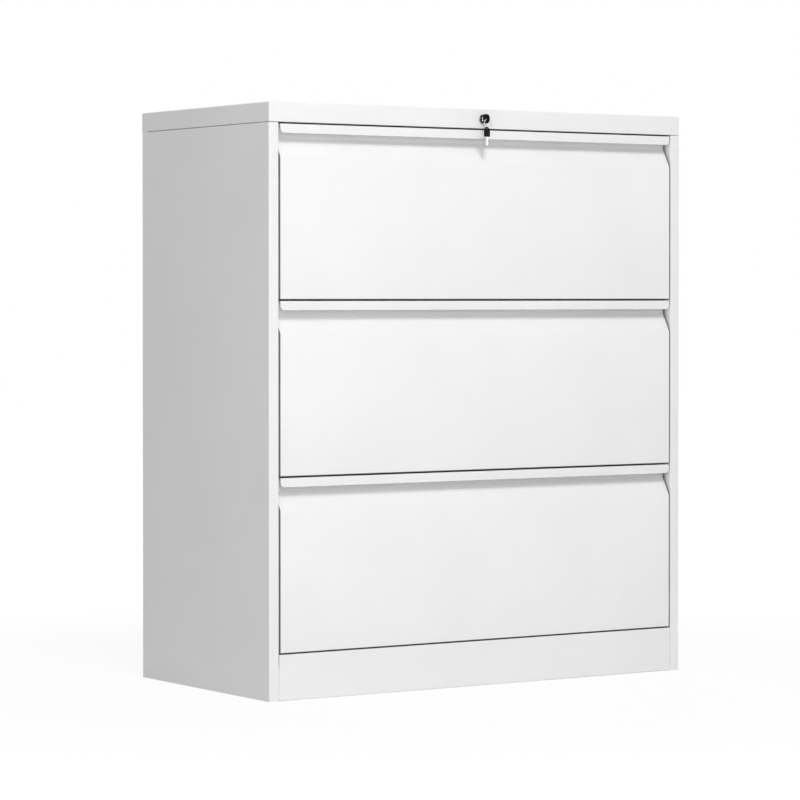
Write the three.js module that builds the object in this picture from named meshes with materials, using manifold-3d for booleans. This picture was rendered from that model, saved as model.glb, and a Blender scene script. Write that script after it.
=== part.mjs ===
// Lateral filing cabinet: a folded sheet steel carcass, three full-width drawers with
// folded finger pulls on telescopic slides, and one central lock that works a bar
// behind the left stile. Millimetres, +Z up, drawer fronts facing -Y, on the floor at Z 0.
import * as THREE from 'three';
import { mergeVertices } from 'three/addons/utils/BufferGeometryUtils.js';
import Module from 'manifold-3d';

const wasm = await Module();
wasm.setup();

// Overall size
const WIDTH = 900;
const DEPTH = 450;
const HEIGHT = 1040;
const DRAWERS = ['drawer_3', 'drawer_2', 'drawer_1'];

// Sheet steel and fits
const SHEET = 0.8;
const BEND = 0.8; // inside radius of a fold
const BEND_STEPS = 3;
const FIT = 0.3; // gap between pieces that sit on each other
const OVERLAP = 0.4; // how far welded walls run into each other
const CUT = 1; // how far a cutter runs past the face it opens

// Carcass
const TOP_HEIGHT = 35;
const TOP_RETURN = 14;
const TOP_SETBACK = 3;
const SEAM = 0.6; // shadow line between the top and the sides
const SEAM_END = 20; // the line closes this far from the back
const PLINTH_HEIGHT = 80.5;
const PLINTH_SHELF = 40;
const PLINTH_FOOT = 20;
const PLINTH_SEAM = 0.5;
const STILE_WIDTH = 20;
const STILE_SETBACK = 2;
const STILE_LEG = 9;
const REAR_FLANGE = 18;
const SIDE_FLANGE = 15;
const BACK_FLANGE = 12;
const BASE_FLANGE = 25;

// Slotted uprights that carry the slides
const UPRIGHT_WIDTH = 36;
const UPRIGHT_INSET = 4; // rear upright, from the end of the slides
const SLOT_WIDTH = 4;
const SLOT_HEIGHT = 14;
const SLOT_OFFSET = 34; // slot centres above and below the slide

// Drawer fronts with the finger pull
const FRAME_GAP = 2.5; // above the top front and below the bottom one
const SIDE_GAP = 3.4; // between the fronts and the stiles
const DRAWER_GAP = 3;
const LIP_HEIGHT = 16;
const LIP_RADIUS = 8;
const GRIP_DEPTH = 18.5;
const GRIP_HEIGHT = 24.5; // top edge to the end of the upright wall behind the lip
const SLOPE_HEIGHT = 33;
const FRONT_FOOT = 18;
const LINER_POCKET = 7.5; // hollow behind the wall of the pull
const LINER_SIDE_GAP = 0.2;
const ARC_STEPS = 6;

// Drawer tubs
const TUB_RAISE = 12;
const TUB_HEADROOM = 54.5; // tub edge below the top of its front
const TUB_HEM = 10;
const TUB_SETBACK = 30;
const RAIL_SHEET = 2.5;
const RAIL_DROP = 10;
const RAIL_STAND = 4;
const FRONT_RAIL_INSET = 18;
const REAR_RAIL_INSET = 46;

// Telescopic slides, three nested channels each
const SLIDE_SHEET = 1.2;
const SLIDE_HEIGHT = 45;
const SLIDE_REACH = 10;
const SLIDE_RISE = 70; // centre above the bottom of the drawer front
const SCREW_RADIUS = 2.6; // holes for the screws that hold the drawer
const SCREW_PITCH = 130;
const SCREW_STEPS = 12;

// Lock linkage
const LOCK_ROOM = 10; // between the drawer fronts and the front uprights
const LINK_SHEET = 2;
const LINK_GAP = 0.5;
const PIN_RADIUS = 1.5;
const PIN_PLAY = 0.6;
const CAM_RADIUS = 10;
const CAM_REST = Math.PI / 4; // the cam swings this far to each side of straight down
const CAM_HUB = 7;
const CAM_WIDTH = 8;
const TRANSFER_HEIGHT = 13;
const TRANSFER_END = 8;
const CRANK_RISE = 20;
const CRANK_REACH = 12;
const CRANK_HUB = 6;
const CRANK_WIDTH = 9.2;
const CRANK_TIP = 1.6;
const FORK_DEPTH = 5;
const PIVOT_RADIUS = 2.5;
const PIVOT_SHOULDER = 3.5;
const LOCK_BAR_WIDTH = 5;
const LOCK_BAR_DEPTH = 4;
const LOCK_BAR_PLAY = 0.7;
const LOCK_BAR_END = 5;
const HOOK_REACH = 9; // hook past the face of the upright
const HOOK_HEIGHT = 10;
const HOOK_PLAY = 1.5;
const CATCH_RISE = 150;
const CATCH_HEIGHT = 14;
const CATCH_LENGTH = 22;
const CATCH_SHEET = 1.5;
const CATCH_PLAY = 1;

// Lock cylinder and keys
const LOCK_RADIUS = 7.5;
const BEZEL_RADIUS = 8.5;
const BEZEL_THICKNESS = 2;
const PLUG_RADIUS = 5.5;
const PLUG_RECESS = 0.4;
const BARREL_SHORT = 2;
const NUT_RADIUS = 11;
const NUT_THICKNESS = 4;
const KEY_REACH = 21;
const KEY_HEAD = 18;
const KEY_WIDTH = 17;
const KEY_THICKNESS = 4;
const KEY_CORNER = 3;
const KEY_HOLE_RADIUS = 2;
const KEY_HOLE_INSET = 4;
const BLADE_LENGTH = 16;
const BLADE_WIDTH = 8;
const BLADE_THICKNESS = 2;
const BLADE_TANG = 6;
const BLADE_TIP = 2.5;
const BITTING = [0.5, 1.4, 0.9]; // depths of the cuts along the blade's edge
const RING_RADIUS = 8;
const WIRE_RADIUS = 0.6;
const WIRE_PLAY = 0.5;
const ROUND_STEPS = 24;
const WIRE_STEPS = 6;

// Positions that follow from the sizes
const HALF = WIDTH / 2;
const FRONT = -DEPTH / 2;
const BACK = DEPTH / 2;
const WALL = HALF - SHEET;
const OPENING = HALF - STILE_WIDTH;
const TOP_BOTTOM = HEIGHT - TOP_HEIGHT;
const SIDE_TOP = TOP_BOTTOM - SEAM;
const BACK_FACE = BACK - SHEET - FIT;
const BACK_EDGE = BACK_FACE - BACK_FLANGE - FIT;
const BASE_TOP = PLINTH_HEIGHT - SHEET - FIT;
const FRONT_HALF = OPENING - SIDE_GAP;
const FRONT_SPAN = TOP_BOTTOM - PLINTH_HEIGHT - 2 * FRAME_GAP - (DRAWERS.length - 1) * DRAWER_GAP;
const FRONT_HEIGHT = FRONT_SPAN / DRAWERS.length;
const FRONT_THICKNESS = GRIP_DEPTH + LINER_POCKET;
const STILE_RETURN = FRONT_THICKNESS - STILE_SETBACK;
const TUB_FRONT = FRONT + FRONT_THICKNESS - SHEET;
const TUB_REAR = BACK - TUB_SETBACK;
const TUB_HEIGHT = FRONT_HEIGHT - TUB_RAISE - TUB_HEADROOM;
const UPRIGHT_FRONT = FRONT + FRONT_THICKNESS + LOCK_ROOM;
const UPRIGHT_REAR = TUB_REAR - UPRIGHT_INSET - UPRIGHT_WIDTH;
const NEST = SLIDE_SHEET + FIT;
const OUTER_FACE = OPENING - FIT;
const MIDDLE_FACE = OUTER_FACE - NEST;
const INNER_FACE = MIDDLE_FACE - SLIDE_REACH - FIT - SLIDE_SHEET;
const TUB_HALF = INNER_FACE - FIT;
const LOCK_Z = HEIGHT - TOP_HEIGHT / 2;
const LOCK_BAR_REAR = UPRIGHT_FRONT - LINK_GAP;
const LOCK_BAR_FRONT = LOCK_BAR_REAR - LOCK_BAR_DEPTH;
const CRANK_REAR = LOCK_BAR_FRONT - LINK_GAP;
const CRANK_FRONT = CRANK_REAR - LINK_SHEET;
const TRANSFER_REAR = CRANK_FRONT - LINK_GAP;
const TRANSFER_FRONT = TRANSFER_REAR - LINK_SHEET;
const CAM_REAR = TRANSFER_FRONT - LINK_GAP;
const CAM_FRONT = CAM_REAR - LINK_SHEET;
const CAM_THROW = CAM_RADIUS * Math.sin(CAM_REST);
const TRANSFER_Z = LOCK_Z - (CAM_RADIUS * (1 + Math.cos(CAM_REST))) / 2;
const CRANK_Z = TRANSFER_Z - CRANK_RISE;
const CRANK_REST = Math.atan2(CAM_THROW, CRANK_RISE);
const LOCK_BAR_X = -(WALL - LOCK_BAR_PLAY - LOCK_BAR_WIDTH / 2);
const CRANK_X = LOCK_BAR_X + CRANK_REACH;
const LOCK_PIN_Z = CRANK_Z + CRANK_REACH * Math.tan(CRANK_REST);
const FORK_WIDTH = 2 * (PIN_RADIUS + PIN_PLAY);
const KEY_HOLE_Y = FRONT - KEY_REACH + KEY_HOLE_INSET;
const HANG = KEY_HOLE_RADIUS - WIRE_RADIUS - WIRE_PLAY;
const RING_Z = LOCK_Z - HANG - RING_RADIUS;

const drawerBottom = (level) => PLINTH_HEIGHT + FRAME_GAP + level * (FRONT_HEIGHT + DRAWER_GAP);

// Finishes
const finish = (color, roughness, metalness) =>
  new THREE.MeshStandardMaterial({ color, roughness, metalness });
const PAINT = finish(0xeeeeec, 0.45, 0);
const ZINC = finish(0xb4b8ba, 0.35, 1);
const CHROME = finish(0xd8dadc, 0.15, 1);
const BLACK_PLASTIC = finish(0x161617, 0.5, 0);
const NICKEL = finish(0xc9c6be, 0.25, 1);

// Solids and cuts
function solidOf(geometry) {
  const bare = geometry.clone();
  bare.deleteAttribute('normal');
  bare.deleteAttribute('uv');
  const welded = mergeVertices(bare);
  const vertProperties = new Float32Array(welded.attributes.position.array);
  const triVerts = new Uint32Array(welded.index.array);
  return new wasm.Manifold(new wasm.Mesh({ numProp: 3, vertProperties, triVerts }));
}

function geometryOf(solid) {
  const { vertProperties, triVerts } = solid.getMesh();
  const geometry = new THREE.BufferGeometry();
  geometry.setAttribute('position', new THREE.BufferAttribute(vertProperties, 3));
  geometry.setIndex(new THREE.BufferAttribute(triVerts, 1));
  geometry.computeVertexNormals();
  return geometry;
}

const join = (...pieces) => geometryOf(pieces.map(solidOf).reduce((sum, piece) => sum.add(piece)));
const cut = (body, ...tools) =>
  geometryOf(tools.map(solidOf).reduce((rest, tool) => rest.subtract(tool), solidOf(body)));

// A section swept along one axis: (y, z) along X, (x, z) along Y, (x, y) along Z
const SWEEPS = {
  x: [[0, 1, 0], [0, 0, 1], [1, 0, 0]],
  y: [[1, 0, 0], [0, 0, 1], [0, -1, 0]],
  z: [[1, 0, 0], [0, 1, 0], [0, 0, 1]],
};

function prism(section, axis, start, end, holes = []) {
  const shape = new THREE.Shape(section.map(([a, b]) => new THREE.Vector2(a, b)));
  shape.holes = holes;
  const geometry = new THREE.ExtrudeGeometry(shape, {
    depth: end - start,
    bevelEnabled: false,
    curveSegments: ROUND_STEPS / 2,
  });
  const [right, up, along] = SWEEPS[axis].map((parts) => new THREE.Vector3(...parts));
  const origin = axis === 'y' ? -end : start;
  const frame = new THREE.Matrix4().makeBasis(right, up, along);
  return geometry.translate(0, 0, origin).applyMatrix4(frame);
}

function block(x0, x1, y0, y1, z0, z1) {
  const box = new THREE.BoxGeometry(Math.abs(x1 - x0), y1 - y0, z1 - z0);
  return box.translate((x0 + x1) / 2, (y0 + y1) / 2, (z0 + z1) / 2);
}

// Round bar along Y
function rod(radius, y0, y1, x = 0, z = 0) {
  const bar = new THREE.CylinderGeometry(radius, radius, y1 - y0, ROUND_STEPS);
  return bar.translate(x, (y0 + y1) / 2, z);
}

function circle(radius) {
  return new THREE.Path().absarc(0, 0, radius, 0, 2 * Math.PI, true);
}

// Folded sheet: the path is one face, the metal lies on its left, every corner is a bend
function foldedOutline(face, thickness) {
  const near = [];
  const far = [];
  const points = face.map(([a, b]) => new THREE.Vector2(a, b));
  const heading = (from, to) => new THREE.Vector2().subVectors(to, from).normalize();
  const leftOf = (way) => new THREE.Vector2(-way.y, way.x);
  points.forEach((point, index) => {
    const before = points[index - 1];
    const after = points[index + 1];
    if (!before || !after) {
      const way = before ? heading(before, point) : heading(point, after);
      near.push(point);
      far.push(point.clone().addScaledVector(leftOf(way), thickness));
      return;
    }
    const into = heading(before, point);
    const turn = Math.atan2(into.cross(heading(point, after)), into.dot(heading(point, after)));
    const side = Math.sign(turn);
    const radius = side > 0 ? BEND + thickness : BEND;
    const start = point.clone().addScaledVector(into, -radius * Math.tan(Math.abs(turn) / 2));
    const centre = start.clone().addScaledVector(leftOf(into), side * radius);
    for (let step = 0; step <= BEND_STEPS; step += 1) {
      const spoke = leftOf(into).multiplyScalar(-side);
      spoke.rotateAround(new THREE.Vector2(), (turn * step) / BEND_STEPS);
      near.push(centre.clone().addScaledVector(spoke, radius));
      far.push(centre.clone().addScaledVector(spoke, radius - side * thickness));
    }
  });
  return [...near, ...far.reverse()].map((point) => [point.x, point.y]);
}

const foldedSheet = (face, axis, start, end, thickness = SHEET) =>
  prism(foldedOutline(face, thickness), axis, start, end);

// Paths are drawn for the right-hand side; the left-hand piece is the mirror image
const handed = (path, side) => (side > 0 ? path : path.map(([x, other]) => [-x, other]).reverse());

// Closed section moved inwards by the same distance on every side, drawn clockwise
function inset(section, distance) {
  const count = section.length;
  return section.map(([a, b], index) => {
    const [a0, b0] = section[(index + count - 1) % count];
    const [a1, b1] = section[(index + 1) % count];
    const into = new THREE.Vector2(a - a0, b - b0).normalize();
    const out = new THREE.Vector2(a1 - a, b1 - b).normalize();
    const share = distance / (1 + into.dot(out));
    return [a + (into.y + out.y) * share, b - (into.x + out.x) * share];
  });
}

const cabinet = new THREE.Group();
cabinet.name = 'lateral_filing_cabinet';

function add(name, geometry, material) {
  const mesh = new THREE.Mesh(geometry, material);
  mesh.name = name;
  cabinet.add(mesh);
  return mesh;
}

// Side panel: wall, front stile folded back as a post, rear flange, top and floor flanges
function sidePanel(side) {
  const face = [
    [OPENING + STILE_LEG, FRONT + STILE_RETURN],
    [OPENING, FRONT + STILE_RETURN],
    [OPENING, FRONT],
    [HALF, FRONT],
    [HALF, BACK],
    [HALF - REAR_FLANGE, BACK],
  ];
  const shell = foldedSheet(handed(face, side), 'z', 0, SIDE_TOP);
  const outer = side * (HALF - OVERLAP);
  const inner = side * (WALL - SIDE_FLANGE);
  const floor = block(inner, outer, FRONT + STILE_RETURN + FIT, BACK_EDGE, 0, SHEET);
  const shelf = block(inner, outer, UPRIGHT_FRONT, BACK_EDGE, SIDE_TOP - SHEET, SIDE_TOP);
  const seamEnd = [BACK - SEAM_END, BACK - BEND - SHEET];
  const rise = block(side * HALF, side * WALL, ...seamEnd, SIDE_TOP - OVERLAP, TOP_BOTTOM);
  return join(shell, floor, shelf, rise);
}

// Slab with every edge rounded like a fold
function roundedSlab(halfWidth, front, back, bottom, top, radius) {
  const low = new THREE.Vector2(-halfWidth + radius, front + radius);
  const high = new THREE.Vector2(halfWidth - radius, back - radius);
  const corners = [[low.x, low.y], [high.x, low.y], [high.x, high.y], [low.x, high.y]];
  const shape = new THREE.Shape(corners.map(([x, y]) => new THREE.Vector2(x, y)));
  const slab = new THREE.ExtrudeGeometry(shape, {
    depth: top - bottom - 2 * radius,
    bevelThickness: radius,
    bevelSize: radius,
    bevelSegments: BEND_STEPS,
  });
  return slab.translate(0, 0, bottom + radius);
}

// Top: a tray turned over, with its rims turned in again along the bottom
function topPanel() {
  const outside = roundedSlab(HALF, FRONT, BACK, TOP_BOTTOM, HEIGHT, BEND + SHEET);
  const inside = roundedSlab(WALL, FRONT + SHEET, BACK - SHEET, TOP_BOTTOM + SHEET, HEIGHT - SHEET, BEND);
  const mouthHalf = HALF - TOP_RETURN;
  const mouthFront = FRONT + STILE_RETURN - TOP_SETBACK;
  const low = TOP_BOTTOM - CUT;
  const high = TOP_BOTTOM + SHEET + CUT;
  const mouth = block(-mouthHalf, mouthHalf, mouthFront, BACK - TOP_RETURN, low, high);
  const notch = block(-WALL + BEND, -mouthHalf + CUT, CAM_FRONT, UPRIGHT_FRONT + CUT, low, high);
  const lockHole = rod(LOCK_RADIUS + FIT, FRONT - CUT, FRONT + SHEET + CUT, 0, LOCK_Z);
  return cut(outside, inside, mouth, notch, lockHole);
}

// Upright: channel with its web towards the drawers and hook slots for every slide
function upright(side, front) {
  const rear = front + UPRIGHT_WIDTH;
  const face = [
    [WALL - FIT, rear],
    [OPENING, rear],
    [OPENING, front],
    [WALL - FIT, front],
  ];
  const channel = foldedSheet(handed(face, side), 'z', BASE_TOP + FIT, SIDE_TOP - SHEET - FIT);
  const middle = (front + rear) / 2;
  const slots = DRAWERS.flatMap((name, level) => [-1, 1].map((way) => {
    const z = drawerBottom(level) + SLIDE_RISE + way * SLOT_OFFSET;
    const web = [side * (OPENING - CUT), side * (OPENING + SHEET + CUT)];
    const across = [middle - SLOT_WIDTH / 2, middle + SLOT_WIDTH / 2];
    return block(...web, ...across, z - SLOT_HEIGHT / 2, z + SLOT_HEIGHT / 2);
  }));
  return cut(channel, ...slots);
}

// Slide member: channel along Y, its web at `face`, its flanges running to `tip`
function slideMember(side, face, tip, halfHeight, centre) {
  const path = [
    [tip, centre + halfHeight],
    [face, centre + halfHeight],
    [face, centre - halfHeight],
    [tip, centre - halfHeight],
  ];
  const opensInwards = tip < face;
  const section = opensInwards ? [...path].reverse() : path;
  return foldedSheet(handed(section, side), 'y', UPRIGHT_FRONT, TUB_REAR, SLIDE_SHEET);
}

// Inner member: holds the drawer by three screws through its web
function innerMember(side, tip, halfHeight, centre) {
  const channel = slideMember(side, INNER_FACE, tip, halfHeight, centre);
  const middle = (UPRIGHT_FRONT + TUB_REAR) / 2;
  const length = 2 * (SLIDE_SHEET + CUT);
  const holes = [-1, 0, 1].map((place) => {
    const hole = new THREE.CylinderGeometry(SCREW_RADIUS, SCREW_RADIUS, length, SCREW_STEPS);
    hole.rotateZ(Math.PI / 2);
    return hole.translate(side * INNER_FACE, middle + place * SCREW_PITCH, centre);
  });
  return cut(channel, ...holes);
}

// Section of the hollow drawer front: flat face, slope, wall of the pull, top, rear
const frontSection = (bottom, top) => [
  [FRONT, bottom],
  [FRONT, top - GRIP_HEIGHT - SLOPE_HEIGHT],
  [FRONT + GRIP_DEPTH, top - GRIP_HEIGHT],
  [FRONT + GRIP_DEPTH, top],
  [FRONT + FRONT_THICKNESS, top],
  [FRONT + FRONT_THICKNESS, bottom],
];

// Drawer front: one sheet folded into a hook at the top, lip corners rounded
function drawerFront(bottom, top) {
  const face = [
    [FRONT + SHEET, top - LIP_HEIGHT],
    [FRONT + SHEET, top - SHEET],
    [FRONT + GRIP_DEPTH, top - SHEET],
    [FRONT + GRIP_DEPTH, top - GRIP_HEIGHT],
    [FRONT, top - GRIP_HEIGHT - SLOPE_HEIGHT],
    [FRONT, bottom],
    [FRONT + FRONT_FOOT, bottom],
  ];
  const sheet = foldedSheet(face, 'x', -FRONT_HALF, FRONT_HALF);
  const corners = [-1, 1].map((side) => {
    const edge = side * FRONT_HALF;
    const low = top - LIP_HEIGHT;
    const centre = [edge - side * LIP_RADIUS, low + LIP_RADIUS];
    const arc = Array.from({ length: ARC_STEPS + 1 }, (unused, step) => {
      const angle = (Math.PI / 2) * (step / ARC_STEPS);
      const [x, z] = centre;
      return [x + side * LIP_RADIUS * Math.sin(angle), z - LIP_RADIUS * Math.cos(angle)];
    });
    const past = edge + side * CUT;
    const outside = [[past, centre[1]], [past, low - CUT], [centre[0], low - CUT]];
    return prism([...arc, ...outside], 'y', FRONT - CUT, FRONT + SHEET + CUT);
  });
  return cut(sheet, ...corners);
}

// Drawer liner: tray that closes the back, top and ends of the hollow front
function drawerLiner(bottom, top) {
  const outside = inset(frontSection(bottom, top), SHEET + FIT);
  const inside = inset(outside, SHEET);
  const open = outside.map(([y, z], corner) => {
    const facesForward = corner < frontSection(bottom, top).length - 2;
    return facesForward ? [y - CUT, Math.min(Math.max(z, inside[0][1]), inside[3][1])] : inside[corner];
  });
  const half = FRONT_HALF - LINER_SIDE_GAP;
  return cut(prism(outside, 'x', -half, half), prism(open, 'x', -half + SHEET, half - SHEET));
}

// Drawer tub: floor and sides folded from one sheet with hemmed edges, back wall welded in
function drawerTub(floor, edge) {
  const face = [
    [-TUB_HALF + TUB_HEM, edge],
    [-TUB_HALF, edge],
    [-TUB_HALF, floor],
    [TUB_HALF, floor],
    [TUB_HALF, edge],
    [TUB_HALF - TUB_HEM, edge],
  ];
  const sides = foldedSheet(face, 'y', TUB_FRONT, TUB_REAR);
  const half = TUB_HALF - OVERLAP;
  const hemHalf = TUB_HALF - TUB_HEM - FIT;
  const backFront = TUB_REAR - 2 * SHEET;
  const back = block(-half, half, backFront, backFront + SHEET, floor + OVERLAP, edge - OVERLAP);
  const hemRear = backFront + OVERLAP;
  const hem = block(-hemHalf, hemHalf, hemRear - TUB_HEM, hemRear, edge - SHEET, edge);
  return join(sides, back, hem);
}

// Hanging rail: flat bar set on edge, its ends resting on the hems of the tub
function hangingRail(edge, front) {
  const seat = edge + FIT;
  const end = TUB_HALF - SHEET - FIT;
  const inner = TUB_HALF - TUB_HEM - FIT;
  const section = [
    [-end, seat],
    [-inner, seat],
    [-inner, edge - RAIL_DROP],
    [inner, edge - RAIL_DROP],
    [inner, seat],
    [end, seat],
    [end, edge + RAIL_STAND],
    [-end, edge + RAIL_STAND],
  ];
  return prism(section, 'y', front, front + RAIL_SHEET);
}

// Catch: angle on the side of the tub that the hook of the lock bar drops in front of
function lockCatch(top) {
  const front = LOCK_BAR_REAR + CATCH_PLAY;
  const plate = -TUB_HALF - FIT;
  const face = [
    [-OPENING + CATCH_PLAY + FIT, front],
    [plate, front],
    [plate, front + CATCH_LENGTH],
  ];
  return foldedSheet(face, 'z', top - CATCH_HEIGHT, top, CATCH_SHEET);
}

// Lock bar: upright bar with one hook per drawer and the pin that the crank drives
function lockBar() {
  const left = LOCK_BAR_X - LOCK_BAR_WIDTH / 2;
  const right = LOCK_BAR_X + LOCK_BAR_WIDTH / 2;
  const hookBottom = (level) => drawerBottom(level) + CATCH_RISE + HOOK_PLAY;
  const top = LOCK_PIN_Z + LOCK_BAR_END;
  const bar = block(left, right, LOCK_BAR_FRONT, LOCK_BAR_REAR, hookBottom(0) - LOCK_BAR_END, top);
  const hooks = DRAWERS.map((name, level) => {
    const z = hookBottom(level);
    const reach = [right - OVERLAP, -OPENING + HOOK_REACH];
    return block(...reach, LOCK_BAR_FRONT, LOCK_BAR_REAR, z, z + HOOK_HEIGHT);
  });
  const pin = rod(PIN_RADIUS, CRANK_FRONT - FIT, LOCK_BAR_FRONT + OVERLAP, LOCK_BAR_X, LOCK_PIN_Z);
  return join(bar, ...hooks, pin);
}

// Crank: forked bell crank, drawn with one arm up and one to the left, turned to its rest angle
function crank() {
  const half = CRANK_WIDTH / 2;
  const fork = FORK_WIDTH / 2;
  const upTip = CRANK_RISE / Math.cos(CRANK_REST) + CRANK_TIP;
  const leftTip = CRANK_REACH + CRANK_TIP;
  const upArm = block(-half, half, CRANK_FRONT, CRANK_REAR, 0, upTip);
  const leftArm = block(-leftTip, 0, CRANK_FRONT, CRANK_REAR, -half, half);
  const hub = rod(CRANK_HUB, CRANK_FRONT, CRANK_REAR);
  const bore = rod(PIVOT_RADIUS + FIT, CRANK_FRONT - CUT, CRANK_REAR + CUT);
  const faces = [CRANK_FRONT - CUT, CRANK_REAR + CUT];
  const upFork = block(-fork, fork, ...faces, upTip - FORK_DEPTH, upTip + CUT);
  const leftFork = block(-leftTip - CUT, -leftTip + FORK_DEPTH, ...faces, -fork, fork);
  const plate = cut(join(upArm, leftArm, hub), bore, upFork, leftFork);
  return plate.rotateY(CRANK_REST).translate(CRANK_X, 0, CRANK_Z);
}

// Transfer bar: flat bar from the cam across to the crank
function transferBar() {
  const left = CRANK_X + CAM_THROW - TRANSFER_END;
  const right = CAM_THROW + TRANSFER_END;
  const low = TRANSFER_Z - TRANSFER_HEIGHT / 2;
  const bar = block(left, right, TRANSFER_FRONT, TRANSFER_REAR, low, low + TRANSFER_HEIGHT);
  const pinX = CRANK_X + CAM_THROW;
  const pin = rod(PIN_RADIUS, TRANSFER_REAR - OVERLAP, CRANK_REAR + FIT, pinX, TRANSFER_Z);
  const halfSlot = FORK_WIDTH / 2;
  const halfHeight = halfSlot + (CAM_RADIUS - CAM_RADIUS * Math.cos(CAM_REST)) / 2;
  const across = [CAM_THROW - halfSlot, CAM_THROW + halfSlot];
  const through = [TRANSFER_FRONT - CUT, TRANSFER_REAR + CUT];
  const slot = block(...across, ...through, TRANSFER_Z - halfHeight, TRANSFER_Z + halfHeight);
  return cut(join(bar, pin), slot);
}

// Cam: arm on the end of the lock plug with the pin that moves the transfer bar
function lockCam() {
  const half = CAM_WIDTH / 2;
  const hub = rod(CAM_HUB, CAM_FRONT, CAM_REAR);
  const arm = block(-half, half, CAM_FRONT, CAM_REAR, -CAM_RADIUS, 0);
  const end = rod(half, CAM_FRONT, CAM_REAR, 0, -CAM_RADIUS);
  const pin = rod(PIN_RADIUS, CAM_REAR - OVERLAP, TRANSFER_REAR + FIT / 2, 0, -CAM_RADIUS);
  return join(hub, arm, end, pin).rotateY(-CAM_REST).translate(0, 0, LOCK_Z);
}

// Lock cylinder
function lockHousing() {
  const bezel = rod(BEZEL_RADIUS, FRONT - BEZEL_THICKNESS, FRONT, 0, LOCK_Z);
  const barrel = rod(LOCK_RADIUS, FRONT - OVERLAP, CAM_FRONT - BARREL_SHORT, 0, LOCK_Z);
  const bore = rod(PLUG_RADIUS + FIT, FRONT - BEZEL_THICKNESS - CUT, CAM_FRONT, 0, LOCK_Z);
  return cut(join(bezel, barrel), bore);
}

function lockNut() {
  const corners = Array.from({ length: 6 }, (unused, corner) => {
    const angle = (Math.PI / 3) * corner;
    return [NUT_RADIUS * Math.cos(angle), NUT_RADIUS * Math.sin(angle)];
  });
  const front = FRONT + SHEET + FIT;
  const nut = prism(corners, 'y', front, front + NUT_THICKNESS, [circle(LOCK_RADIUS + FIT)]);
  return nut.translate(0, 0, LOCK_Z);
}

function lockPlug() {
  const face = FRONT - BEZEL_THICKNESS + PLUG_RECESS;
  const plug = rod(PLUG_RADIUS, face, CAM_FRONT);
  const keyway = block(
    -BLADE_THICKNESS / 2 - FIT,
    BLADE_THICKNESS / 2 + FIT,
    face - CUT,
    FRONT - KEY_REACH + KEY_HEAD + BLADE_LENGTH + FIT,
    -BLADE_WIDTH / 2 - FIT,
    BLADE_WIDTH / 2 + FIT,
  );
  return cut(plug, keyway).translate(0, 0, LOCK_Z);
}

// Key, drawn about the centre of its ring hole with the blade along +Y
function keyHead() {
  const half = KEY_WIDTH / 2;
  const root = KEY_HEAD - KEY_HOLE_INSET;
  const arch = Array.from({ length: 2 * ARC_STEPS + 1 }, (unused, step) => {
    const angle = Math.PI * (0.5 + step / (2 * ARC_STEPS));
    return [half - KEY_HOLE_INSET + half * Math.cos(angle), half * Math.sin(angle)];
  });
  const shoulders = [
    [root - KEY_CORNER, -half],
    [root, -half + KEY_CORNER],
    [root, half - KEY_CORNER],
    [root - KEY_CORNER, half],
  ];
  const thick = KEY_THICKNESS / 2;
  const plate = prism([...arch, ...shoulders], 'x', -thick, thick, [circle(KEY_HOLE_RADIUS)]);
  const halfSlot = BLADE_THICKNESS / 2 + FIT;
  const halfWidth = BLADE_WIDTH / 2 + FIT;
  const pocket = [root - BLADE_TANG - FIT, root + CUT];
  return cut(plate, block(-halfSlot, halfSlot, ...pocket, -halfWidth, halfWidth));
}

function keyBlade() {
  const half = BLADE_WIDTH / 2;
  const root = KEY_HEAD - KEY_HOLE_INSET;
  const pitch = (BLADE_LENGTH - BLADE_TIP) / (BITTING.length + 1);
  const edge = BITTING.flatMap((depth, notch) => {
    const y = root + pitch * (notch + 1);
    return [[y - depth, -half], [y, -half + depth], [y + depth, -half]];
  });
  const tip = root + BLADE_LENGTH;
  const section = [
    [root - BLADE_TANG, half],
    [root - BLADE_TANG, -half],
    ...edge,
    [tip - BLADE_TIP, -half],
    [tip, -half + BLADE_TIP],
    [tip, half - BLADE_TIP],
    [tip - BLADE_TIP, half],
  ];
  return prism(section, 'x', -BLADE_THICKNESS / 2, BLADE_THICKNESS / 2);
}

// Carcass
add('left_side_panel', sidePanel(-1), PAINT);
add('right_side_panel', sidePanel(1), PAINT);
add('top_panel', topPanel(), PAINT);

const backFace = [
  [WALL - FIT, BACK_FACE - BACK_FLANGE],
  [WALL - FIT, BACK_FACE],
  [-WALL + FIT, BACK_FACE],
  [-WALL + FIT, BACK_FACE - BACK_FLANGE],
];
add('back_panel', foldedSheet(backFace, 'z', 0, SIDE_TOP), PAINT);

const baseFace = [
  [WALL - FIT, BASE_TOP - BASE_FLANGE],
  [WALL - FIT, BASE_TOP],
  [-WALL + FIT, BASE_TOP],
  [-WALL + FIT, BASE_TOP - BASE_FLANGE],
];
add('base_panel', foldedSheet(baseFace, 'y', FRONT + STILE_RETURN + FIT, BACK_EDGE), PAINT);

const plinthFace = [
  [FRONT + PLINTH_SHELF, PLINTH_HEIGHT],
  [FRONT, PLINTH_HEIGHT],
  [FRONT, 0],
  [FRONT + PLINTH_FOOT, 0],
];
add('plinth', foldedSheet(plinthFace, 'x', -OPENING + PLINTH_SEAM, OPENING - PLINTH_SEAM), PAINT);

const sides = { left: -1, right: 1 };
Object.entries(sides).forEach(([name, side]) => {
  add(`${name}_front_upright`, upright(side, UPRIGHT_FRONT), PAINT);
  add(`${name}_rear_upright`, upright(side, UPRIGHT_REAR), PAINT);
});

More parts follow.
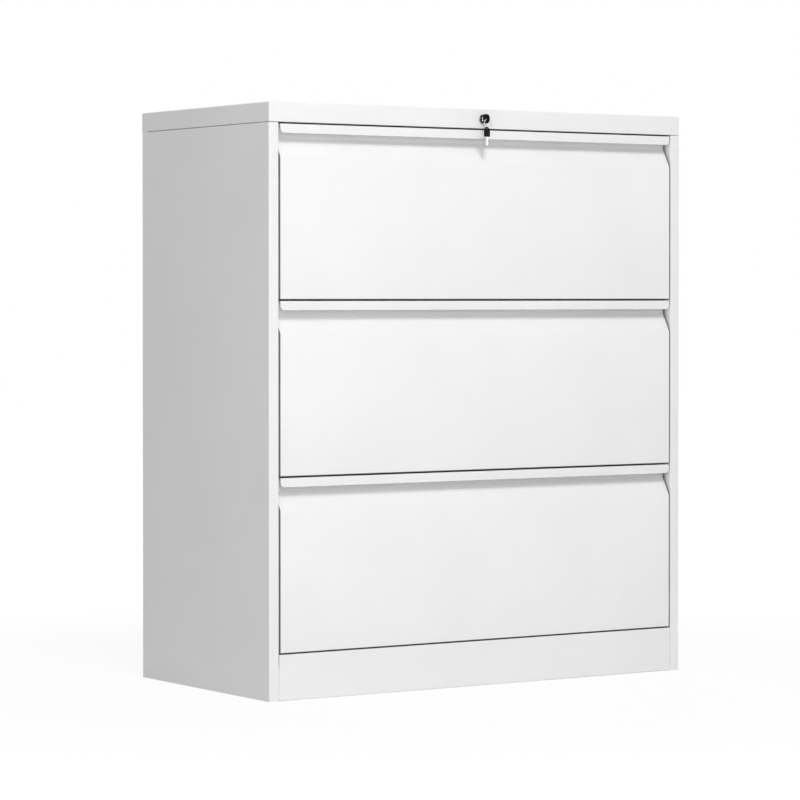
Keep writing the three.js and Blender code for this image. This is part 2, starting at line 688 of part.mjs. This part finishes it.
// Drawers and their slides
DRAWERS.forEach((name, level) => {
  const bottom = drawerBottom(level);
  const top = bottom + FRONT_HEIGHT;
  const floor = bottom + TUB_RAISE;
  const edge = floor + TUB_HEIGHT;
  add(`${name}_front`, drawerFront(bottom, top), PAINT);
  add(`${name}_liner`, drawerLiner(bottom, top), PAINT);
  add(`${name}_tub`, drawerTub(floor, edge), PAINT);
  add(`${name}_front_rail`, hangingRail(edge, TUB_FRONT + FRONT_RAIL_INSET), ZINC);
  add(`${name}_rear_rail`, hangingRail(edge, TUB_REAR - REAR_RAIL_INSET), ZINC);
  add(`${name}_catch`, lockCatch(bottom + CATCH_RISE), ZINC);
  const centre = bottom + SLIDE_RISE;
  const half = SLIDE_HEIGHT / 2;
  const innerTip = MIDDLE_FACE - SLIDE_SHEET - FIT - BEND;
  Object.entries(sides).forEach(([hand, side]) => {
    const slide = `${name}_${hand}_slide`;
    add(`${slide}_outer`, slideMember(side, OUTER_FACE, OUTER_FACE - SLIDE_REACH, half, centre), ZINC);
    const middleTip = MIDDLE_FACE - SLIDE_REACH;
    add(`${slide}_middle`, slideMember(side, MIDDLE_FACE, middleTip, half - NEST, centre), ZINC);
    add(`${slide}_inner`, innerMember(side, innerTip, half - 2 * NEST, centre), ZINC);
  });
});

// Lock
add('lock_housing', lockHousing(), CHROME);
add('lock_nut', lockNut(), ZINC);
add('lock_plug', lockPlug(), CHROME);
add('lock_cam', lockCam(), ZINC);
add('transfer_bar', transferBar(), ZINC);
add('crank', crank(), ZINC);
const pivot = join(
  rod(PIVOT_SHOULDER, CRANK_REAR + FIT, UPRIGHT_FRONT - FIT, CRANK_X, CRANK_Z),
  rod(PIVOT_RADIUS, CRANK_FRONT - FIT, CRANK_REAR + FIT + OVERLAP, CRANK_X, CRANK_Z),
);
add('crank_pivot', pivot, ZINC);
add('lock_bar', lockBar(), ZINC);

// Key in the lock, with its ring
add('key_head', keyHead(), BLACK_PLASTIC).position.set(0, KEY_HOLE_Y, LOCK_Z);
add('key_blade', keyBlade(), NICKEL).position.set(0, KEY_HOLE_Y, LOCK_Z);
const ring = new THREE.TorusGeometry(RING_RADIUS, WIRE_RADIUS, WIRE_STEPS, ROUND_STEPS);
add('key_ring', ring.rotateX(Math.PI / 2), NICKEL).position.set(0, KEY_HOLE_Y, RING_Z);

// The key stands out in front, so the middle of the whole lies half its reach forward
cabinet.position.y = KEY_REACH / 2;

export default cabinet;
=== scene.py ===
import math

import bmesh
import bpy
from mathutils import Matrix, Vector


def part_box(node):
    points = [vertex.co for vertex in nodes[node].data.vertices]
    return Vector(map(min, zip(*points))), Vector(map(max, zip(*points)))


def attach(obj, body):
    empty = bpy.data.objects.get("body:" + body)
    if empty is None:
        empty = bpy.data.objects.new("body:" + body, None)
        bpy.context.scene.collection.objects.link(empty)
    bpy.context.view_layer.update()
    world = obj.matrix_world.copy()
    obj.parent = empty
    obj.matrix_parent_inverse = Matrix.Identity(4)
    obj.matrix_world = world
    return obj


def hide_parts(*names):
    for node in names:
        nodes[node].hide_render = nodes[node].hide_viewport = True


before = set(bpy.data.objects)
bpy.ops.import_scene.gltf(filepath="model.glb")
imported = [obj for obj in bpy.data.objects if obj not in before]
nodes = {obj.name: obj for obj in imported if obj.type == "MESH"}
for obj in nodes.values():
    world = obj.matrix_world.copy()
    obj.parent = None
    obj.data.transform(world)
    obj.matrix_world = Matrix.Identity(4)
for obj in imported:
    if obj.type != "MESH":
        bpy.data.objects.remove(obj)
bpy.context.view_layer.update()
scene = bpy.context.scene

MM = 0.001
QUARTER = math.pi / 2
ALONG_Y = Vector((0.0, 1.0, 0.0))
UP = Vector((0.0, 0.0, 1.0))
EVEN = (1.0, 1.0, 1.0)
WHITE = (1.0, 1.0, 1.0, 1.0)


# Material helpers

def new_material(name):
    material = bpy.data.materials.new(name)
    material.use_nodes = True
    return material, material.node_tree, material.node_tree.nodes["Principled BSDF"]


def add(tree, kind, **inputs):
    made = tree.nodes.new(kind)
    for key, value in inputs.items():
        made.inputs[key.replace("_", " ")].default_value = value
    return made


def stretched(tree, scale):
    place = tree.nodes.new("ShaderNodeTexCoord")
    mapping = tree.nodes.new("ShaderNodeMapping")
    mapping.inputs["Scale"].default_value = scale
    tree.links.new(place.outputs["Object"], mapping.inputs["Vector"])
    return mapping.outputs["Vector"]


# Height of a point: in metres for Object, as a share of its own piece for Generated
def height_of(tree, coordinate):
    place = tree.nodes.new("ShaderNodeTexCoord")
    part = tree.nodes.new("ShaderNodeSeparateXYZ")
    tree.links.new(place.outputs[coordinate], part.inputs["Vector"])
    return part.outputs["Z"]


def noise(tree, vector, scale, detail, rough):
    made = add(tree, "ShaderNodeTexNoise", Scale=scale, Detail=detail, Roughness=rough)
    tree.links.new(vector, made.inputs["Vector"])
    return made.outputs["Fac"]


def ranged(tree, source, low, high, start=0.3, end=0.7):
    made = add(tree, "ShaderNodeMapRange", From_Min=start, From_Max=end, To_Min=low, To_Max=high)
    tree.links.new(source, made.inputs["Value"])
    return made.outputs["Result"]


def toned(tree, source, dark, pale, start=0.3, end=0.7):
    ramp = tree.nodes.new("ShaderNodeValToRGB")
    first, last = ramp.color_ramp.elements
    first.position = start
    first.color = (*dark, 1.0)
    last.position = end
    last.color = (*pale, 1.0)
    tree.links.new(source, ramp.inputs["Fac"])
    return ramp.outputs["Color"]


def bumped(tree, source, strength, distance, before=None):
    made = add(tree, "ShaderNodeBump", Strength=strength, Distance=distance)
    tree.links.new(source, made.inputs["Height"])
    if before is not None:
        tree.links.new(before, made.inputs["Normal"])
    return made.outputs["Normal"]


def worked(tree, operation, *sources):
    made = tree.nodes.new("ShaderNodeMath")
    made.operation = operation
    for socket, source in zip(made.inputs, sources):
        if isinstance(source, float):
            socket.default_value = source
        else:
            tree.links.new(source, socket)
    return made.outputs["Value"]


def finish(tree, shader, colour, roughness, normal):
    tree.links.new(colour, shader.inputs["Base Color"])
    tree.links.new(roughness, shader.inputs["Roughness"])
    tree.links.new(normal, shader.inputs["Normal"])


# Output that mixes two shaders by a share
def mixed_output(tree, kind, share, first, second):
    out = tree.nodes.new(kind)
    mix = tree.nodes.new("ShaderNodeMixShader")
    tree.links.new(share, mix.inputs["Fac"])
    tree.links.new(first, mix.inputs[1])
    tree.links.new(second, mix.inputs[2])
    tree.links.new(mix.outputs["Shader"], out.inputs["Surface"])


# Painted shade in narrow gaps: width of the gap, the tone of the painted shade, and the openness between
# shut and open
GAP_REACH = 12 * MM
GAP_SHADE_TONE = 0.4
GAP_SHUT = 0.1
GAP_OPEN = 0.9
GAP_SAMPLES = 4


# Painted shade: colour darkened by occlusion where the paint lies in a narrow gap, but not along the
# floor
def painted_gap_shade(tree, colour):
    crevice = add(tree, "ShaderNodeAmbientOcclusion", Distance=GAP_REACH)
    crevice.samples = GAP_SAMPLES
    foot = ranged(tree, height_of(tree, "Object"), 1.0, 0.0, GAP_REACH, 2 * GAP_REACH)
    gap = ranged(tree, crevice.outputs["AO"], GAP_SHADE_TONE, 1.0, GAP_SHUT, GAP_OPEN)
    made = tree.nodes.new("ShaderNodeVectorMath")
    made.operation = "SCALE"
    tree.links.new(colour, made.inputs["Vector"])
    tree.links.new(worked(tree, "MAXIMUM", gap, foot), made.inputs["Scale"])
    return made.outputs["Vector"]


# Drawer fronts: fold and wall as shares of the height, crowns as bump heights in metres
FOLD_LEVEL = 0.8112
WALL_LEVEL = 0.9195
FACE_CROWN = 0.029
SLOPE_CROWN = 0.0078


# Slight crown of the drawer fronts, which softens the fold between face and slope
def crown(tree):
    up = height_of(tree, "Generated")
    face = ranged(tree, up, 0.0, 1.0, 0.0, FOLD_LEVEL)
    slope = ranged(tree, up, 0.0, SLOPE_CROWN, FOLD_LEVEL, WALL_LEVEL)
    bulge = worked(tree, "MULTIPLY", worked(tree, "MULTIPLY", face, face), -FACE_CROWN)
    return bumped(tree, worked(tree, "ADD", bulge, slope), strength=1.0, distance=1.0)


# White powder coat: soft mottling, uneven sheen and orange peel, with painted shade in narrow gaps
def powder_coat(name, crowned):
    material, tree, shader = new_material(name)
    place = stretched(tree, EVEN)
    cloud = noise(tree, place, scale=5.0, detail=4.0, rough=0.55)
    peel = noise(tree, place, scale=520.0, detail=2.0, rough=0.45)
    grit = noise(tree, place, scale=2600.0, detail=1.0, rough=0.5)
    colour = toned(tree, cloud, dark=(0.852, 0.853, 0.850), pale=(0.884, 0.884, 0.880))
    sheen = ranged(tree, peel, low=0.40, high=0.52)
    shape = crown(tree) if crowned else None
    dimples = bumped(tree, peel, strength=0.16, distance=0.12 * MM, before=shape)
    normal = bumped(tree, grit, strength=0.06, distance=0.04 * MM, before=dimples)
    # Base colour carries painted shade, darkened in narrow gaps
    finish(tree, shader, painted_gap_shade(tree, colour), sheen, normal)
    shader.inputs["IOR"].default_value = 1.48
    return material


# Metal with a clouded colour and a grain in its gloss and surface
def metal(name, cloud, dark, pale, grain, along, gloss, relief):
    material, tree, shader = new_material(name)
    shade = noise(tree, stretched(tree, EVEN), **cloud)
    lines = noise(tree, stretched(tree, along), **grain)
    finish(tree, shader, toned(tree, shade, dark, pale), ranged(tree, lines, *gloss),
           bumped(tree, lines, **relief))
    shader.inputs["Metallic"].default_value = 1.0
    return material


# Bright zinc plating with a drawn grain along the metal
def zinc_plate(name, along):
    return metal(name, cloud={"scale": 34.0, "detail": 4.0, "rough": 0.6},
                 dark=(0.56, 0.58, 0.60), pale=(0.68, 0.685, 0.67),
                 grain={"scale": 60.0, "detail": 3.0, "rough": 0.6}, along=along,
                 gloss=(0.26, 0.44), relief={"strength": 0.10, "distance": 0.06 * MM})


# Polished chrome with hairline scratches
def chrome():
    return metal("lock_chrome", cloud={"scale": 260.0, "detail": 3.0, "rough": 0.6},
                 dark=(0.70, 0.71, 0.72), pale=(0.80, 0.80, 0.80),
                 grain={"scale": 900.0, "detail": 2.0, "rough": 0.7}, along=(1.0, 1.0, 14.0),
                 gloss=(0.10, 0.22), relief={"strength": 0.05, "distance": 0.03 * MM})


# Nickel silver of the keys and their ring, milled lengthways
def nickel():
    return metal("key_nickel", cloud={"scale": 300.0, "detail": 3.0, "rough": 0.6},
                 dark=(0.80, 0.795, 0.775), pale=(0.89, 0.885, 0.865),
                 grain={"scale": 1500.0, "detail": 2.0, "rough": 0.6}, along=(1.0, 0.1, 1.0),
                 gloss=(0.20, 0.36), relief={"strength": 0.12, "distance": 0.03 * MM})


# Moulded black plastic with a fine spark grain
def moulded_plastic():
    material, tree, shader = new_material("moulded_plastic")
    place = stretched(tree, EVEN)
    grain = noise(tree, place, scale=3200.0, detail=2.0, rough=0.6)
    cloud = noise(tree, place, scale=120.0, detail=3.0, rough=0.5)
    colour = toned(tree, cloud, dark=(0.004, 0.004, 0.0045), pale=(0.008, 0.008, 0.0085))
    finish(tree, shader, colour, ranged(tree, grain, low=0.50, high=0.66),
           bumped(tree, grain, strength=0.25, distance=0.05 * MM))
    shader.inputs["Specular IOR Level"].default_value = 0.08
    return material


PAINT = powder_coat("powder_coat", False)
FRONT_PAINT = powder_coat("front_powder_coat", True)
ZINC_ALONG = zinc_plate("zinc_along", (12.0, 0.25, 12.0))
ZINC_ACROSS = zinc_plate("zinc_across", (0.25, 12.0, 12.0))
ZINC_UPRIGHT = zinc_plate("zinc_upright", (12.0, 12.0, 0.25))
CHROME = chrome()
PLASTIC = moulded_plastic()
NICKEL = nickel()


def material_of(name):
    if "slide" in name or name == "crank_pivot":
        return ZINC_ALONG
    if "rail" in name or name == "transfer_bar":
        return ZINC_ACROSS
    if name in ("lock_bar", "crank", "lock_cam", "lock_nut") or "catch" in name:
        return ZINC_UPRIGHT
    if name in ("lock_housing", "lock_plug"):
        return CHROME
    if name == "key_head":
        return PLASTIC
    if name in ("key_blade", "key_ring"):
        return NICKEL
    if name.endswith("_front"):
        return FRONT_PAINT
    return PAINT


# How far edges are broken, and what counts as an edge
SHEET_EDGE = 0.18 * MM
LOCK_EDGE = 0.25 * MM
HEAD_EDGE = 0.6 * MM
KEY_EDGE = 0.08 * MM
EDGE_STEPS = 2
EDGE_ANGLE = math.radians(48)
WELD_GAP = 0.002 * MM
FLAT_WEIGHT = 100


def edge_of(name):
    if name in ("lock_housing", "lock_plug"):
        return LOCK_EDGE
    if name == "key_head":
        return HEAD_EDGE
    if name in ("key_blade", "key_ring"):
        return KEY_EDGE
    return SHEET_EDGE


def smooth(piece):
    piece.data.polygons.foreach_set("use_smooth", [True] * len(piece.data.polygons))


# Normals that keep the large faces flat
def flatten(piece):
    flat = piece.modifiers.new("flats", "WEIGHTED_NORMAL")
    flat.weight = FLAT_WEIGHT
    flat.keep_sharp = False


def soften(piece, width):
    smooth(piece)
    weld = piece.modifiers.new("weld", "WELD")
    weld.merge_threshold = WELD_GAP
    bevel = piece.modifiers.new("edges", "BEVEL")
    bevel.width = width
    bevel.segments = EDGE_STEPS
    bevel.limit_method = "ANGLE"
    bevel.angle_limit = EDGE_ANGLE
    bevel.use_clamp_overlap = True
    flatten(piece)


for name, piece in nodes.items():
    piece.data.materials.clear()
    piece.data.materials.append(material_of(name))
    soften(piece, edge_of(name))


# Mesh helpers

def mesh_piece(name, points, faces, material):
    mesh = bpy.data.meshes.new(name)
    mesh.from_pydata([tuple(p) for p in points], [], faces)
    work = bmesh.new()
    work.from_mesh(mesh)
    bmesh.ops.recalc_face_normals(work, faces=work.faces[:])
    work.to_mesh(mesh)
    work.free()
    mesh.materials.append(material)
    piece = bpy.data.objects.new(name, mesh)
    scene.collection.objects.link(piece)
    return piece


# Frame of a small part: u along, v across, t through
def frame_at(place, along, across):
    through = along.cross(across)
    turn = Matrix((along, across, through)).transposed().to_4x4()
    return Matrix.Translation(place) @ turn


# Points in millimetres, put where a frame says
def placed(place, points):
    return [place @ (Vector(point) * MM) for point in points]


# Quads between neighbouring rings of points, and from the last back to the first if closed
def ring_faces(rings, count, closed=False):
    faces = []
    for level in range(rings if closed else rings - 1):
        low = level * count
        high = (level + 1) % rings * count
        for index in range(count):
            right = (index + 1) % count
            faces.append((low + index, low + right, high + right, high + index))
    return faces


def arc(u, v, radius, start, end, steps):
    turns = [start + (end - start) * step / steps for step in range(steps + 1)]
    return [(u + radius * math.cos(turn), v + radius * math.sin(turn)) for turn in turns]


# Key heads in millimetres, moulded with a round edge, drawn around the ring hole with the blade along u
HEAD_INSET = 4.0
HEAD_LENGTH = 18.0
HEAD_WIDTH = 17.0
HEAD_THICK = 4.0
HEAD_ROUND = 1.5
HEAD_CORNER = 3.0
LEAST_CORNER = 0.3
HOLE_RADIUS = 2.0
HOLE_ROUND = 0.3
ARCH_STEPS = 24
CORNER_STEPS = 8
ROUND_STEPS = 6


def head_outline(shrink):
    half = HEAD_WIDTH / 2 - shrink
    corner = max(HEAD_CORNER - shrink, LEAST_CORNER)
    arch = HEAD_WIDTH / 2 - HEAD_INSET
    foot = HEAD_LENGTH - HEAD_INSET - shrink - corner
    side = half - corner
    return (arc(arch, 0.0, half, QUARTER, 3 * QUARTER, ARCH_STEPS)
            + arc(foot, -side, corner, -QUARTER, 0.0, CORNER_STEPS)
            + arc(foot, side, corner, 0.0, QUARTER, CORNER_STEPS))


# Ring hole, with a point for each point of the head's outline
def hole_outline(stretch, grow=0.0):
    turns = [math.atan2(v, u) for u, v in head_outline(0.0)]
    length = HOLE_RADIUS + grow
    width = HOLE_RADIUS * stretch + grow
    return [(length * math.cos(turn), width * math.sin(turn)) for turn in turns]


def key_head(name, place, stretch):
    half = HEAD_THICK / 2
    layers = [(hole_outline(stretch), half - HOLE_ROUND), (hole_outline(stretch, HOLE_ROUND), half)]
    for step in range(ROUND_STEPS + 1):
        turn = QUARTER * step / ROUND_STEPS
        layers.append((head_outline(HEAD_ROUND * (1 - math.sin(turn))),
                       half - HEAD_ROUND * (1 - math.cos(turn))))
    layers += [(ring, -height) for ring, height in reversed(layers)]
    points = [(u, v, height) for ring, height in layers for u, v in ring]
    faces = ring_faces(len(layers), len(layers[0][0]), closed=True)
    piece = mesh_piece(name, placed(place, points), faces, PLASTIC)
    smooth(piece)
    flatten(piece)
    return piece


# Key blade in millimetres, with a milled groove on each side and three cuts
BLADE_ROOT = HEAD_LENGTH - HEAD_INSET
BLADE_TANG = 4.0
BLADE_SHOULDER = 3.0
BLADE_LENGTH = 16.0
BLADE_WIDTH = 8.0
BLADE_THICK = 2.0
BLADE_TIP = 2.5
BLADE_TIP_LIFT = 1.9
BLADE_CUTS = (0.5, 1.4, 0.9)
CUT_START = 5.2
CUT_PITCH = 3.1
CUT_HALF = 0.5
CUT_TO_CREST = 1.55
CREST_DEPTH = 0.15
GROOVE_DEPTH = 0.45
GROOVE_HALF = 0.8
GROOVE_FLOOR_HALF = 0.6
GROOVE_MIDDLES = (-0.6, 0.4)


# Along the blade: place, depth of the cuts, and lift of the other edge
def blade_stations():
    tip = BLADE_ROOT + BLADE_LENGTH
    stations = [(BLADE_ROOT - BLADE_TANG, 0.0, 0.0), (BLADE_ROOT + BLADE_SHOULDER, 0.0, 0.0)]
    for index, depth in enumerate(BLADE_CUTS):
        middle = BLADE_ROOT + CUT_START + CUT_PITCH * index
        stations.append((middle - CUT_HALF, depth, 0.0))
        stations.append((middle + CUT_HALF, depth, 0.0))
        stations.append((middle + CUT_TO_CREST, CREST_DEPTH, 0.0))
    stations.append((tip - BLADE_TIP, 0.0, 0.0))
    stations.append((tip, BLADE_TIP, BLADE_TIP_LIFT))
    return stations


# Groove in one face of the blade, in the order that the section runs
def groove(middle, side):
    face = side * BLADE_THICK / 2
    floor = face - side * GROOVE_DEPTH
    return [(middle + side * GROOVE_HALF, face), (middle + side * GROOVE_FLOOR_HALF, floor),
            (middle - side * GROOVE_FLOOR_HALF, floor), (middle - side * GROOVE_HALF, face)]


def blade_section(cut, lift):
    near = BLADE_WIDTH / 2 - cut
    far = -BLADE_WIDTH / 2 + lift
    thick = BLADE_THICK / 2
    first, second = GROOVE_MIDDLES
    return [(near, thick), *groove(first, 1), (far, thick),
            (far, -thick), *groove(second, -1), (near, -thick)]


def key_blade(name, place):
    stations = blade_stations()
    points = [(u, v, t) for u, cut, lift in stations for v, t in blade_section(cut, lift)]
    count = len(points) // len(stations)
    last = len(points) - count
    ends = [tuple(range(count)), tuple(range(last, last + count))]
    faces = ends[:1] + ring_faces(len(stations), count) + ends[1:]
    piece = mesh_piece(name, placed(place, points), faces, NICKEL)
    soften(piece, KEY_EDGE)
    return piece


# Head of the key in the lock, drawn around its ring hole
plug_low, plug_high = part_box("lock_plug")
LOCK_Z = (plug_low.z + plug_high.z) / 2
HOLE_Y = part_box("key_head")[0].y + HEAD_INSET * MM
ROUND_HOLE = 1.0
inserted = frame_at(Vector((0.0, HOLE_Y, LOCK_Z)), ALONG_Y, UP)
worn_head = key_head("key_head_moulding", inserted, ROUND_HOLE)
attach(worn_head, "key")
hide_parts("key_head")

# Spare key: it hangs from the ring by its wide hole, turned a little towards the front
SPARE_TURN = math.radians(65.5)
SPARE_X = -1.3 * MM
SPARE_Y = 1.0 * MM
SPARE_DROP = 1.2 * MM
WIDE_HOLE = 1.7
across = Vector((math.sin(SPARE_TURN), math.cos(SPARE_TURN), 0.0))
ring_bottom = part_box("key_ring")[0].z
hang = Vector((SPARE_X, HOLE_Y + SPARE_Y, ring_bottom - SPARE_DROP))
spare = frame_at(hang, -UP, across)
spare_head = key_head("spare_key_head", spare, WIDE_HOLE)
spare_blade = key_blade("spare_key_blade", spare)
for piece in (spare_head, spare_blade):
    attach(piece, "key_ring")


# Pan-head screws of the drawers: heads on the drawer's walls, tips in the holes of the slides
SCREW_STEPS = 24
SCREW_HEAD = ((3.4, 0.0), (3.4, 0.25), (3.1, 0.85), (2.5, 1.15), (1.7, 1.25),
              (1.2, 1.25), (0.8, 1.25), (0.4, 1.25))
SCREW_TIP = ((2.2, 0.0), (2.2, 1.7), (1.9, 2.1), (1.1, 2.25), (0.5, 2.3))
SCREW_PITCH = 130 * MM
TUB_SHEET = 0.8 * MM
WEB_SINK = 0.05 * MM
RECESS_DEPTH = 0.7
RECESS_HALF = 0.33
RECESS_REACH = 1.6
NO_RECESS = 0.0


# Turned shape of radii and heights in millimetres, with a cross recess sunk into its end
def turned(place, rings, recess):
    points = []
    for radius, height in rings:
        for u, v in arc(0.0, 0.0, radius, 0.0, 4 * QUARTER, SCREW_STEPS)[:-1]:
            crossed = radius < RECESS_REACH and min(abs(u), abs(v)) < RECESS_HALF
            points.append((u, v, height - recess if crossed else height))
    points.append((0.0, 0.0, rings[-1][1] - recess))
    tip = len(points) - 1
    last = tip - SCREW_STEPS
    faces = [tuple(range(SCREW_STEPS))] + ring_faces(len(rings), SCREW_STEPS)
    for step in range(SCREW_STEPS):
        faces.append((last + step, last + (step + 1) % SCREW_STEPS, tip))
    return placed(place, points), faces


def screws(name, shapes, body):
    points = []
    faces = []
    for more, shape in shapes:
        faces += [tuple(index + len(points) for index in face) for face in shape]
        points += more
    piece = mesh_piece(name, points, faces, ZINC_ALONG)
    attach(piece, body)


for number in (1, 2, 3):
    tub_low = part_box(f"drawer_{number}_tub")[0]
    member_low, member_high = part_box(f"drawer_{number}_left_slide_inner")
    middle = (member_low + member_high) / 2
    shapes = []
    for side in (1.0, -1.0):
        wall = side * (tub_low.x + TUB_SHEET)
        web = side * (member_high.x - WEB_SINK)
        for place in (-1, 0, 1):
            y = middle.y + place * SCREW_PITCH
            head = frame_at(Vector((wall, y, middle.z)), side * ALONG_Y, UP)
            tip = frame_at(Vector((web, y, middle.z)), -side * ALONG_Y, UP)
            shapes.append(turned(head, SCREW_HEAD, RECESS_DEPTH))
            shapes.append(turned(tip, SCREW_TIP, NO_RECESS))
    screws(f"drawer_{number}_screws", shapes, f"drawer_{number}")


# Tabs that close the seam under the cap at its back end: depths from the side, ends from the back
TAB_SUNK = 1.0 * MM
TAB_FLUSH = 0.1 * MM
TAB_START = 20.0 * MM
TAB_END = 1.6 * MM
TAB_EDGES = ((-1.7 * MM, TAB_SUNK), (-1.1 * MM, TAB_FLUSH),
             (1.5 * MM, TAB_FLUSH), (2.1 * MM, TAB_SUNK))
TAB_QUADS = [(0, 1, 5, 4), (1, 2, 6, 5), (2, 3, 7, 6), (3, 0, 4, 7), (0, 3, 2, 1), (4, 5, 6, 7)]
cap_low, cap_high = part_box("top_panel")


def seam_tab(name, side):
    ends = (cap_high.y - TAB_START, cap_high.y - TAB_END)
    points = [(side * (cap_high.x - depth), y, cap_low.z + rise)
              for y in ends for rise, depth in TAB_EDGES]
    piece = mesh_piece(name, points, TAB_QUADS, PAINT)
    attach(piece, "cabinet")


seam_tab("left_seam_tab", -1.0)
seam_tab("right_seam_tab", 1.0)


# Pale studio floor that keeps the shadow of the cabinet and fades to white away from it
FLOOR_HALF = 12.0
FLOOR_COLOUR = (0.72, 0.72, 0.72, 1.0)
FLOOR_GLOW = 1.02
NEAR_GLOW = 0.9
FADE_START = 0.8
FADE_END = 1.8


def floor_material():
    material = bpy.data.materials.new("studio_floor")
    material.use_nodes = True
    tree = material.node_tree
    tree.nodes.clear()
    matt = add(tree, "ShaderNodeBsdfDiffuse", Color=FLOOR_COLOUR)
    glow = add(tree, "ShaderNodeEmission", Color=WHITE, Strength=FLOOR_GLOW)
    path = tree.nodes.new("ShaderNodeLightPath")
    place = tree.nodes.new("ShaderNodeTexCoord")
    away = tree.nodes.new("ShaderNodeVectorMath")
    away.operation = "LENGTH"
    tree.links.new(place.outputs["Object"], away.inputs[0])
    fade = ranged(tree, away.outputs["Value"], NEAR_GLOW, 1.0, FADE_START, FADE_END)
    share = worked(tree, "MULTIPLY", path.outputs["Is Camera Ray"], fade)
    mixed_output(tree, "ShaderNodeOutputMaterial", share, matt.outputs["BSDF"], glow.outputs["Emission"])
    return material


FLOOR_CORNERS = [(x * FLOOR_HALF, y * FLOOR_HALF, 0.0) for x, y in ((-1, -1), (1, -1), (1, 1), (-1, 1))]
floor = mesh_piece("studio_floor", FLOOR_CORNERS, [(0, 1, 2, 3)], floor_material())


# Soft studio light: an even surround, a lamp high in front, a low fill and a lamp behind
SURROUND = 0.34
FRONT_AIM = (0.0, -0.2, 0.6)
BACK_AIM = (0.0, 0.0, 0.7)


def surround(level):
    world = bpy.data.worlds.new("studio")
    scene.world = world
    world.use_nodes = True
    tree = world.node_tree
    tree.nodes.clear()
    soft = add(tree, "ShaderNodeBackground", Color=WHITE, Strength=level)
    white = add(tree, "ShaderNodeBackground", Color=WHITE, Strength=1.0)
    path = tree.nodes.new("ShaderNodeLightPath")
    seen = worked(tree, "MAXIMUM", path.outputs["Is Camera Ray"], path.outputs["Is Glossy Ray"])
    shown = worked(tree, "MAXIMUM", seen, path.outputs["Is Transmission Ray"])
    mixed_output(tree, "ShaderNodeOutputWorld", shown, soft.outputs["Background"],
                 white.outputs["Background"])


def lamp(name, place, aim, size, power):
    data = bpy.data.lights.new(name, "AREA")
    data.shape = "SQUARE"
    data.size = size
    data.energy = power
    piece = bpy.data.objects.new(name, data)
    piece.location = place
    piece.rotation_euler = (Vector(aim) - Vector(place)).to_track_quat("-Z", "Y").to_euler()
    scene.collection.objects.link(piece)
    return piece


surround(SURROUND)
lamp("key_lamp", place=(-1.29, -5.18, 6.73), aim=FRONT_AIM, size=2.5, power=329.0)
lamp("fill_lamp", place=(-1.5, -2.3, 1.2), aim=FRONT_AIM, size=1.2, power=16.3)
back_lamp = lamp("back_lamp", place=(2.6, 3.6, 1.1), aim=BACK_AIM, size=1.6, power=70.0)

# The lamp behind leaves no glare on the top
back_lamp.visible_glossy = False


# Camera at the angle of the photo
CAMERA_PLACE = (-3.39261, -5.07628, 0.70343)
CAMERA_DIP = math.radians(0.9268)
CAMERA_TURN = math.radians(-33.4696)

lens = bpy.data.cameras.new("camera")
lens.lens = 147.80
lens.sensor_width = 36.0
lens.shift_y = -0.0635
lens.clip_end = 100.0
camera = bpy.data.objects.new("camera", lens)
camera.location = CAMERA_PLACE
camera.rotation_euler = (QUARTER - CAMERA_DIP, 0.0, CAMERA_TURN)
scene.collection.objects.link(camera)
scene.camera = camera

scene.view_settings.view_transform = "Standard"
